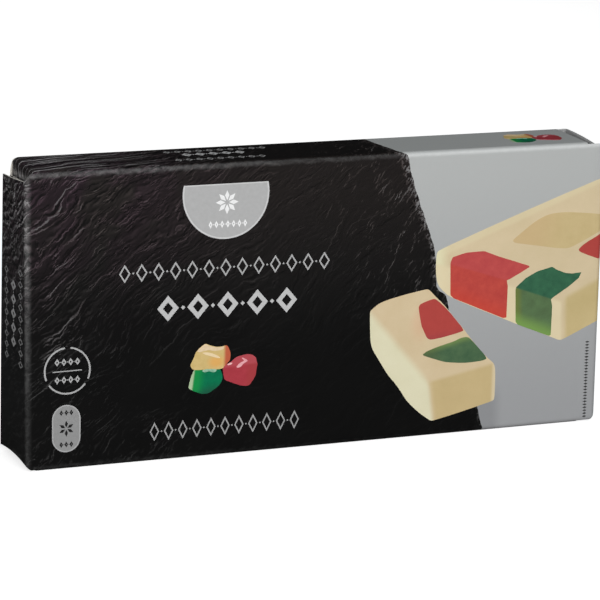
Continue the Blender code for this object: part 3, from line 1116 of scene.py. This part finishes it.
# %% Ink: the bar
BAR = [
    (125.4, 55.6), (126.3, 56.5), (147.6, 64.3), (163.7, 70.0), (180.2, 75.6), (FOLD_END, 75.9),
    (FOLD_END, 32.2), (180.2, 31.8), (168.0, 26.4), (166.6, 26.2), (164.4, 27.2), (152.0, 32.3),
    (149.2, 33.6), (130.2, 41.8), (126.6, 45.1), (125.5, 47.7), (125.2, 51.6),
]
BAR_RED = [
    (129.9, 52.3), (130.6, 54.0), (134.9, 55.1), (140.8, 55.2), (145.8, 53.2), (156.3, 49.6), (150.3, 46.5),
    (148.5, 45.8), (148.9, 44.1), (148.8, 33.9), (130.2, 42.0),
]
BAR_GREEN = [
    (151.5, 43.4), (154.8, 46.1), (158.5, 47.9), (163.4, 49.0), (165.2, 47.9), (168.0, 46.8), (170.2, 46.5),
    (173.3, 46.7), (172.5, 45.0), (169.2, 42.6), (164.3, 39.7), (163.4, 39.0), (163.9, 37.0), (163.8, 27.5),
    (151.9, 32.3),
]
BAR_RED_CORNER = [
    (171.6, 53.4), (173.7, 55.3), (180.2, 58.6), (FOLD_END, 59.0), (FOLD_END, 49.7), (180.2, 50.0),
    (175.5, 51.7),
]
BAR_PALE_FRUIT = [
    (149.2, 57.3), (152.9, 60.1), (157.4, 63.3), (161.5, 65.1), (166.4, 65.5), (173.1, 64.9), (180.2, 64.0),
    (FOLD_END, 63.8), (FOLD_END, 60.0), (180.2, 59.5), (173.5, 56.3), (168.6, 54.2), (164.1, 54.7),
    (156.9, 56.0),
]


FOLD_MARGIN = 1.6
JELLY_CORNER_SHARE = 0.06


def rounded_to_fold(outline):
    """Rounds an outline, but keeps its edge at the end of the fold straight."""
    points = rounded(outline)
    points[:, 0] = np.where(points[:, 0] > FOLD_END - FOLD_MARGIN, FOLD_END, points[:, 0])
    return points


def paint_bar(place):
    top = mottle_of(place, (207, 189, 151), (220, 201, 168), 0.10)
    left = mottle_of(place, (222, 216, 176), (233, 228, 194), 0.12)
    front = mottle_of(place, (222, 206, 168), (230, 216, 180), 0.12)
    side = mottle_of(place, (192, 172, 122), (208, 188, 140), 0.10)
    colour = blend_of(side_of(place, (128.3, 30.2), (128.0, 60.1), 4.5), top, left)
    below = between(place, ((167.8, 37.8), (130.2, 50.7), 1.5), ((167.5, 20.2), (166.7, 45.1), 1.2))
    colour = blend_of(below * 0.85, colour, front)
    on_side = between(place, ((168.1, 45.1), (168.9, 20.2), 2.2), ((179.7, 44.5), (166.8, 38.6), 2.2))
    colour = blend_of(on_side, colour, side)
    return coat(colour, side_of(place, (125.6, 53.9), (179.4, 73.9), 1.4) * 0.35, (226, 216, 178))


def paint_bar_red(place):
    top = mottle_of(place, (176, 66, 68), (198, 86, 82), 0.35)
    front = mottle_of(place, (174, 60, 58), (200, 84, 72), 0.35)
    front = coat(front, side_of(place, (148.7, 37.0), (129.7, 45.0), 6.0) * 0.5, (208, 72, 54))
    return blend_of(side_of(place, (148.6, 45.8), (130.0, 51.9), 0.8), top, front)


def paint_bar_green(place):
    top = mottle_of(place, (40, 80, 62), (64, 116, 84), 0.35)
    front = mottle_of(place, (78, 98, 68), (96, 126, 84), 0.30)
    front = coat(front, side_of(place, (153.8, 28.2), (152.9, 45.2), 2.6) * 0.8, (112, 124, 60))
    front = coat(front, side_of(place, (164.9, 29.6), (151.3, 35.2), 4.5) * 0.9, (122, 158, 82))
    return blend_of(side_of(place, (163.6, 39.1), (151.3, 43.5), 0.7), top, front)


def paint_pale_fruit(place):
    colour = mottle_of(place, (196, 174, 126), (208, 188, 141), 0.25)
    return coat(colour, side_of(place, (160.0, 50.0), (164.0, 70.0), 14.0) * 0.6, (204, 175, 132))


picture_piece("bar_paste", rounded_to_fold(BAR), paint_bar, level=0)
picture_piece("bar_pale_fruit", rounded_to_fold(BAR_PALE_FRUIT), paint_pale_fruit)
picture_piece("bar_red_jelly", rounded(BAR_RED, JELLY_CORNER_SHARE), paint_bar_red)
picture_piece("bar_green_jelly", rounded(BAR_GREEN, JELLY_CORNER_SHARE), paint_bar_green)
ink_piece("bar_red_corner", [rounded_to_fold(BAR_RED_CORNER)], slice_red, level=1)
print("bar: runs on to", round(FOLD_END, 2), "mm")

# %% [markdown]
# ## Three pieces of candied fruit
#
# Under the middle of the front lie three small pieces of candied fruit: yellow, green and red. The same
# group is printed again on the top panel, drawn closer together. So each layer's outline is laid twice: as it
# is on the front, and through a move function that scales it on the top.

# %% Ink: the candied fruit
YELLOW = [
    (48.9, 27.6), (49.4, 28.7), (49.9, 29.6), (50.4, 31.1), (51.3, 32.2), (53.4, 33.7), (54.6, 33.1),
    (56.7, 32.4), (58.5, 32.4), (59.7, 32.7), (60.3, 32.4), (61.2, 30.3), (61.0, 28.2), (60.1, 27.3),
    (59.2, 26.0), (57.4, 25.7), (51.6, 26.0), (49.8, 26.1), (49.1, 26.9),
]
YELLOW_RIM = [
    (50.8, 31.6), (52.1, 32.7), (53.4, 33.6), (54.4, 33.0), (56.5, 32.3), (58.3, 32.3), (59.1, 32.5),
    (59.1, 31.7), (58.1, 31.3), (55.8, 31.3), (54.4, 31.7), (53.3, 31.5), (51.5, 31.2),
]
YELLOW_GLINT = [
    (52.3, 31.0), (53.9, 31.1), (55.8, 30.5), (57.4, 29.7), (58.1, 29.1), (57.4, 29.0), (55.4, 29.7),
    (53.5, 30.3),
]
GREEN = [
    (50.5, 26.3), (53.9, 26.3), (57.4, 26.0), (58.2, 25.6), (58.7, 24.0), (58.8, 22.7), (57.9, 21.1),
    (56.3, 19.9), (54.4, 18.8), (52.6, 18.8), (50.9, 19.4), (49.5, 20.1), (48.4, 20.7), (48.5, 21.7),
    (49.0, 23.7), (49.8, 25.8),
]
GREEN_GLINT = [
    (52.4, 25.7), (53.5, 26.1), (56.7, 25.9), (57.0, 25.5), (56.3, 24.9), (55.1, 25.2), (54.3, 25.4),
    (53.2, 25.1),
]
RED = [
    (59.0, 26.3), (60.1, 27.1), (61.3, 27.6), (62.9, 29.0), (64.5, 29.3), (66.2, 29.6), (67.8, 29.3),
    (69.0, 28.4), (69.2, 27.2), (69.5, 26.4), (69.2, 25.1), (69.0, 23.2), (68.1, 21.6), (66.9, 20.1),
    (64.6, 20.3), (61.8, 21.4), (59.4, 22.4), (59.1, 23.6), (58.8, 25.5),
]
RED_GLINT = [(60.0, 27.0), (61.3, 27.5), (61.8, 27.3), (61.3, 26.8), (60.5, 26.7)]
RED_STREAK = [
    (62.9, 26.0), (63.9, 27.1), (65.5, 27.7), (64.5, 28.5), (64.8, 28.7), (66.7, 27.6), (65.3, 27.0),
    (64.3, 25.9), (63.4, 25.7),
]


def paint_yellow(place):
    colour = mottle_of(place, (200, 172, 108), (218, 192, 132), 0.5)
    colour = coat(colour, spot_of(place, (56.8, 28.0), (3.6, 2.6), 0, 0.2) * 0.8, (228, 170, 92))
    return coat(colour, 1.0 - side_of(place, (59.2, 24.4), (59.4, 33.4), 1.2), (190, 94, 66))


def paint_green(place):
    colour = mottle_of(place, (0, 96, 66), (6, 124, 82), 0.5)
    colour = coat(colour, side_of(place, (51.9, 18.5), (52.7, 26.4), 3.2), (20, 140, 70))
    low = between(place, ((59.3, 21.1), (47.9, 19.9), 3.0), ((57.2, 26.4), (49.4, 17.5), 4.0))
    colour = coat(colour, low * 0.8, (28, 84, 62))
    return coat(colour, side_of(place, (49.4, 19.5), (50.2, 25.8), 0.7) * 0.85, (186, 202, 166))


def paint_fruit_red(place):
    colour = mottle_of(place, (160, 52, 62), (178, 64, 74), 0.5)
    right_face = 1.0 - side_of(place, (65.6, 18.5), (66.6, 26.4), 2.0)
    top = 1.0 - side_of(place, (70.1, 26.8), (58.2, 26.0), 0.9)
    return coat(coat(colour, right_face * 0.8, (164, 60, 64)), top * 0.6, (186, 84, 92))


def glint(shade, light):
    return lambda place: mottle_of(place, shade, light, 1.2)


# Each piece has its outline, its paint and its level in the stack of inks
FRUIT = {
    "yellow_fruit": (YELLOW, paint_yellow, 1),
    "yellow_fruit_rim": (YELLOW_RIM, glint((214, 188, 148), (238, 216, 184)), 2),
    "yellow_fruit_glint": (YELLOW_GLINT, glint((226, 200, 152), (240, 220, 184)), 2),
    "green_fruit": (GREEN, paint_green, 0),
    "green_fruit_glint": (GREEN_GLINT, glint((70, 150, 110), (190, 214, 196)), 3),
    "red_fruit": (RED, paint_fruit_red, 2),
    "red_fruit_glint": (RED_GLINT, glint((232, 160, 164), (246, 206, 204)), 3),
    "red_fruit_streak": (RED_STREAK, glint((216, 130, 140), (246, 196, 198)), 3),
}


TOP_START, TOP_FOOT, TOP_SCALE, TOP_LEAN = 111.2, 13.5, (0.853, 0.958), 0.01


def to_top_fruit(across, upward):
    return TOP_START + across * TOP_SCALE[0], (upward - TOP_FOOT) * TOP_SCALE[1] + across * TOP_LEAN


for name, (outline, paint, level) in FRUIT.items():
    ink = picture_piece(name, rounded(outline), paint, level)
    ink_piece("top_" + name, [rounded(outline)], ink, top_panel, level, to_top_fruit)
print("fruit layers on each panel:", len(FRUIT))

# %% [markdown]
# ## Rows of lozenges
#
# The lines of print get a plain ornament: rows of lozenges with the same length, height and weight. A row is
# a shape that repeats, so Geometry Nodes make it: one kite outline with a smaller one inside it is filled,
# drawn up to the ink's thickness, closed from below, and set out at a pitch. Small dots are set out on their
# own between the lozenges. The tree's inputs are a row's sizes, so that the thin, the bold and the tiny rows
# all come from the same tree.


# %% Geometry Nodes: a row, a rosette and a ring of arcs
def shape_tree(name, *sizes):
    """Makes a geometry tree out of the function under it, which gets the sizes and the ink's rise.

    The function's name then stands for the tree and a dictionary of its inputs' identifiers.
    """

    def build(draw):
        tree = bpy.data.node_groups.new(name, "GeometryNodeTree")
        tree.is_modifier = True
        tree.interface.new_socket("Geometry", in_out="INPUT", socket_type="NodeSocketGeometry")
        identifiers = {}
        for size in (*sizes, "Rise", "Ink"):
            kind = {"Count": "NodeSocketInt", "Ink": "NodeSocketMaterial"}.get(size, "NodeSocketFloat")
            identifiers[size] = tree.interface.new_socket(size, in_out="INPUT", socket_type=kind).identifier
        tree.interface.new_socket("Geometry", in_out="OUTPUT", socket_type="NodeSocketGeometry")
        *given, ink = [Out(socket) for socket in tree.nodes.new("NodeGroupInput").outputs[1:-1]]
        real = node("GeometryNodeRealizeInstances", {0: draw(*given)})
        inked = node("GeometryNodeSetMaterial", {"Geometry": real, "Material": ink})
        fill(tree.nodes.new("NodeGroupOutput").inputs["Geometry"], inked)
        return tree, identifiers

    return build


def kite(width, height):
    half = height * 0.5
    values = {"Width": width, "Bottom Height": half, "Top Height": half}
    return node("GeometryNodeCurvePrimitiveQuadrilateral", values, mode="KITE")


def join(*pieces):
    joined = pieces[0].socket.id_data.nodes.new("GeometryNodeJoinGeometry")
    for piece in pieces:
        fill(joined.inputs[0], piece)
    return Out(joined.outputs[0])


def shifted(geometry, axis, offset):
    offset = node("ShaderNodeCombineXYZ", {axis: offset})
    return node("GeometryNodeTransform", {"Geometry": geometry, "Translation": offset})


def filled_layer(outlines, rise):
    """Fills outlines and gives them a thickness, closed above and below."""
    flat = node("GeometryNodeFillCurve", {"Curve": outlines}, mode="TRIANGLES")
    values = {"Mesh": flat, "Offset": (0, 0, 1), "Offset Scale": rise, "Individual": False}
    raised = node("GeometryNodeExtrudeMesh", values, mode="FACES")
    whole = join(raised, node("GeometryNodeFlipFaces", {0: flat}))
    return node("GeometryNodeMergeByDistance", {"Geometry": whole, "Distance": SAME_INK_PLACE})


def turned_copies(unit, count, turn):
    """Copies of a unit on one spot, evenly turned round it."""
    points = node("GeometryNodeMeshLine", {"Count": count, "Offset": (0, 0, 0)}, mode="OFFSET")
    index = node("GeometryNodeInputIndex", {}, tree=unit.socket.id_data)
    turn = node("ShaderNodeCombineXYZ", {2: index * math.tau / count + turn})
    return node("GeometryNodeInstanceOnPoints", {"Points": points, "Instance": unit, "Rotation": turn})


@shape_tree("lozenge_row", "Count", "Pitch", "Width", "Height", "Opening", "Dot")
def lozenge_row(count, pitch, width, height, opening, dot, rise):
    lozenge = filled_layer(join(kite(width, height), kite(width * opening, height * opening)), rise)
    step = node("ShaderNodeCombineXYZ", {0: pitch})
    sets = []
    for unit, number in ((lozenge, count), (filled_layer(kite(dot, dot), rise), count - 1.0)):
        start = node("ShaderNodeCombineXYZ", {0: (number - 1.0) * pitch * -0.5})
        values = {"Count": number, "Start Location": start, "Offset": step}
        points = node("GeometryNodeMeshLine", values, mode="OFFSET")
        sets.append(node("GeometryNodeInstanceOnPoints", {"Points": points, "Instance": unit}))
    return join(*sets)


@shape_tree("lozenge_rosette", "Count", "Reach", "Width", "Height", "Turn")
def lozenge_rosette(count, reach, width, height, turn, rise):
    return turned_copies(filled_layer(shifted(kite(width, height), 1, reach), rise), count, turn)


@shape_tree("ring_of_arcs", "Count", "Radius", "Sweep", "Stroke", "Turn")
def ring_of_arcs(count, radius, sweep, stroke, turn, rise):
    values = {"Resolution": 24, "Radius": radius, "Sweep Angle": sweep}
    arc = node("GeometryNodeCurveArc", values, mode="RADIUS")
    values = {"Width": stroke, "Height": rise}
    section = node("GeometryNodeCurvePrimitiveQuadrilateral", values, mode="RECTANGLE")
    values = {"Curve": arc, "Profile Curve": section, "Fill Caps": True}
    return turned_copies(shifted(node("GeometryNodeCurveToMesh", values), 2, rise * 0.5), count, turn)


print("geometry trees:", [tree.name for tree, identifiers in (lozenge_row, lozenge_rosette, ring_of_arcs)])

# %% [markdown]
# ## Setting out the ornaments
#
# Each ornament runs its tree once, turns the result into a plain mesh, and is laid on its panel like any
# other layer of ink. A row has six sizes, and the hollow of its lozenges follows from the line's width.


# %% Helpers for ornaments
GREY_SWING = 6
LEAST_OPENING = 0.02


def grey_ink(name, shade):
    low, high = (shade - GREY_SWING,) * 3, (shade + GREY_SWING,) * 3
    return painted(name, lambda place: mottle_of(place, low, high, 0.8), "picture")


def ornament(name, made, values, ink, centre, panel=front_panel, level=0, turn=0.0):
    """Runs a geometry tree with values in millimetres, and lays the result on a panel."""
    tree, identifiers = made
    piece = new_object(name + "_maker", bpy.data.meshes.new(name))
    modifier = piece.modifiers.new(tree.name, "NODES")
    modifier.node_group = tree
    for key, value in {**values, "Ink": ink, "Rise": INK_SUNK + INK_RISE + INK_STEP * level}.items():
        modifier[identifiers[key]] = value
    mesh = plain_mesh(piece, name)
    mesh.transform(Matrix.Translation((*centre, -INK_SUNK)) @ Matrix.Rotation(math.radians(turn), 4, "Z"))
    lay_on(mesh, panel)
    return as_piece(name, mesh)


def row(name, sizes, ink, centre, panel=front_panel, level=0, turn=0.0):
    """A row of hollow lozenges. sizes: count, pitch, width, height, the line's width and the dots' width."""
    count, pitch, width, height, stroke, dot = sizes
    values = {"Count": count, "Pitch": pitch, "Width": width, "Height": height, "Dot": dot}
    values["Opening"] = max(LEAST_OPENING, 1 - 2 * stroke * math.hypot(width, height) / (width * height))
    return ornament(name + "_row", lozenge_row, values, ink, centre, panel, level, turn)


PALE_LINE, PALE_BOLD = grey_ink("pale_line", 172), grey_ink("pale_bold", 192)
PALE_FINE, DARK_LINE = grey_ink("pale_fine", 158), grey_ink("dark_line", 62)
print("inks for lines:", PALE_LINE.name, PALE_BOLD.name, PALE_FINE.name, DARK_LINE.name)

# %% Ink: rows on the front, the top and the left end, each from its top row down
row("front_thin", (13, 5.062, 3.4, 5.3, 0.45, 0.7), PALE_LINE, (59.35, 55.6))
row("front_bold", (5, 9.06, 6.5, 7.5, 1.30, 1.3), PALE_BOLD, (60.1, 44.75))
row("front_low", (11, 4.31, 2.9, 5.6, 0.40, 0.6), PALE_FINE, (59.7, 8.8))
row("front_edge", (26, 0.93, 0.62, 1.5, 0.3, 0.1), DARK_LINE, (176.2, 13.35), turn=90)
row("top_thin", (10, 3.27, 2.2, 3.0, 0.40, 0.5), PALE_FINE, (62.8, 19.6), top_panel)
row("top_bold", (5, 4.06, 3.1, 4.4, 0.85, 0.7), PALE_BOLD, (60.5, 14.4), top_panel)
row("top_low", (9, 3.17, 2.2, 3.4, 0.40, 0.5), PALE_FINE, (60.0, 7.0), top_panel)
row("end_thin", (9, 3.3, 2.2, 4.4, 0.40, 0.5), PALE_FINE, (5.2, 43.4), left_panel, turn=-90)
row("end_bold", (5, 4.1, 3.1, 4.8, 0.85, 0.7), PALE_BOLD, (12.0, 43.6), left_panel, turn=-90)
row("end_low", (9, 3.1, 2.2, 3.8, 0.40, 0.5), PALE_FINE, (18.8, 42.6), left_panel, turn=-90)

# %% [markdown]
# ## Half disc, ring and tab
#
# Three more places carry a plain shape. High in the middle hangs a pale half disc with a lighter rim and a
# rosette of lozenges. At the lower left a ring of three arcs stands over an upright tab with round ends.
# Circles are computed, not typed in, so that they stay true, and they aren't rounded again.


# %% Ink: half disc, ring and tab
def arc_points(centre, radius, start, sweep, steps):
    angles = np.radians(start + sweep * np.arange(steps + 1) / steps)
    return np.stack([centre[0] + radius * np.cos(angles), centre[1] + radius * np.sin(angles)], 1)


DISC_CENTRE, DISC_STEPS = (59.2, 77.0), 48
RING_CENTRE, RING_RADIUS = (12.1, 28.85), 6.65
TAB_ACROSS, TAB_HEIGHTS, TAB_RADIUS, TAB_STEPS = 11.8, (14.75, 9.3), 4.2, 20


def half_disc(radius, cut):
    """A disc whose top is cut off at the given height."""
    lift = math.degrees(math.asin((cut - DISC_CENTRE[1]) / radius))
    return arc_points(DISC_CENTRE, radius, lift, -180 - 2 * lift, DISC_STEPS)


def tab(inset):
    """An upright shape with round ends."""
    ends = zip(TAB_HEIGHTS, (0, 180))
    arcs = [arc_points((TAB_ACROSS, at), TAB_RADIUS - inset, start, 180, TAB_STEPS) for at, start in ends]
    return np.concatenate(arcs)


def rosette(name, count, reach, width, height, ink, centre):
    values = {"Count": count, "Reach": reach, "Width": width, "Height": height, "Turn": 0.0}
    return ornament(name + "_rosette", lozenge_rosette, values, ink, centre, level=1)


DISC, DISC_RIM, WHITE = grey_ink("disc_grey", 176), grey_ink("disc_rim", 202), grey_ink("white_ink", 238)
TAB_GREY, NEAR_BLACK = grey_ink("tab_grey", 145), grey_ink("near_black", 30)
ink_piece("disc_rim", [half_disc(13.13, 79.9), half_disc(12.65, 79.55)], DISC_RIM, level=1)
ink_piece("half_disc", [half_disc(12.8, 79.65)], DISC)
rosette("disc", 8, 2.0, 1.35, 2.9, WHITE, (59.5, 74.5))
row("disc", (7, 1.75, 1.15, 2.2, 0.35, 0.4), WHITE, (59.8, 68.2), level=1)

arcs = {"Count": 3, "Radius": RING_RADIUS, "Stroke": 0.50}
arcs.update(Sweep=math.radians(106), Turn=math.radians(96))
ornament("ring_arcs", ring_of_arcs, arcs, PALE_LINE, RING_CENTRE)
ink_piece("ring_rule", [[(7.8, 28.55), (16.4, 28.65), (16.4, 28.95), (7.8, 28.85)]], PALE_LINE)
for name, height in (("ring_upper", 31.4), ("ring_lower", 26.2)):
    row(name, (4, 2.0, 1.5, 2.2, 0.4, 0.4), PALE_LINE, (RING_CENTRE[0], height))

ink_piece("tab_rim", [tab(0.0), tab(0.35)], PALE_LINE, level=1)
ink_piece("tab_field", [tab(0.2)], TAB_GREY)
rosette("tab", 6, 1.35, 0.95, 2.0, NEAR_BLACK, (TAB_ACROSS, 12.0))
for name, height in (("tab_upper", 16.65), ("tab_lower", 7.35)):
    row(name, (3, 1.5, 1.05, 1.7, 0.35, 0.3), NEAR_BLACK, (TAB_ACROSS, height), level=1)

# %% [markdown]
# ## Floor, light and background
#
# The box stands on a plain pale floor in soft light. The main lamp is a large softbox in front, a little
# to the left and not high, because the front panel is about twice as bright as the top. A weaker one on
# the left puts the thin light line on the upright fold, and one high at the right lights the top. Behind the
# box a fourth keeps the back readable. The floor glows for the camera alone, so that the background stays
# white as in a pack shot.


# %% Build the stage
def by_eye(tree, seen, unseen):
    """Mixes a shader for rays that the camera sends and one for all other rays."""
    camera_ray = node("ShaderNodeLightPath", {}, "Is Camera Ray", tree)
    return node("ShaderNodeMixShader", {0: camera_ray, 1: unseen, 2: seen})


def fresh_tree(owner):
    owner.use_nodes = True
    owner.node_tree.nodes.clear()
    return owner.node_tree


FLOOR_SIZE = 6.0
FLOOR_GREY, FLOOR_UNSEEN = (0.75, 0.75, 0.75, 1), (0.14, 0.14, 0.14, 1)
FLOOR_GLOW, SKY_GLOW = 0.72, 0.018
WHITE_LIGHT, SKY_TINT = (1, 1, 1, 1), (0.90, 0.96, 1.0, 1)


def make_floor():
    bm = bmesh.new()
    bmesh.ops.create_grid(bm, x_segments=1, y_segments=1, size=FLOOR_SIZE)
    mesh = bpy.data.meshes.new("floor")
    bm.to_mesh(mesh)
    bm.free()
    floor = new_object("floor", mesh)
    material = bpy.data.materials.new("floor")
    tree = fresh_tree(material)
    plain = node("ShaderNodeBsdfDiffuse", {"Color": FLOOR_GREY}, tree=tree)
    glow = node("ShaderNodeEmission", {"Color": WHITE_LIGHT, "Strength": FLOOR_GLOW}, tree=tree)
    unseen = node("ShaderNodeBsdfDiffuse", {"Color": FLOOR_UNSEEN}, tree=tree)
    mixed = by_eye(tree, node("ShaderNodeAddShader", {0: plain, 1: glow}), unseen)
    node("ShaderNodeOutputMaterial", {0: mixed}, output=None)
    mesh.materials.append(material)


def make_world():
    world = bpy.data.worlds.new("studio")
    tree = fresh_tree(world)
    white = node("ShaderNodeBackground", {"Color": WHITE_LIGHT, "Strength": 1.0}, tree=tree)
    dim = node("ShaderNodeBackground", {"Color": SKY_TINT, "Strength": SKY_GLOW}, tree=tree)
    node("ShaderNodeOutputWorld", {0: by_eye(tree, white, dim)}, output=None)
    bpy.context.scene.world = world


def softbox(name, place, aim, width, height, power, colour=(1, 1, 1)):
    lamp = bpy.data.lights.new(name, "AREA")
    lamp.shape = "RECTANGLE"
    lamp.size, lamp.size_y, lamp.energy, lamp.color = width, height, power, colour
    made = new_object(name, lamp)
    direction = Vector(aim) - Vector(place)
    turned = direction.to_track_quat("-Z", "Y").to_matrix().to_4x4()
    made.matrix_world = Matrix.Translation(place) @ turned
    return made


make_floor()
make_world()
MIDDLE = (0, 0, HEIGHT / 2)
softbox("front_softbox", (-0.25, -1.20, 0.45), MIDDLE, 0.9, 0.6, 16.5)
softbox("left_softbox", (-1.15, -0.45, 0.30), MIDDLE, 0.5, 0.5, 1.4)
softbox("high_softbox", (0.42, -0.25, 1.00), MIDDLE, 0.5, 0.5, 1.7, (0.90, 0.98, 1.0))
back_softbox = softbox("back_softbox", (0.10, 1.10, 0.60), MIDDLE, 0.8, 0.6, 3.0)
back_softbox.visible_glossy = False
bpy.context.scene.view_settings.view_transform = "Standard"
print("lamps:", [lamp.name for lamp in bpy.data.lights])
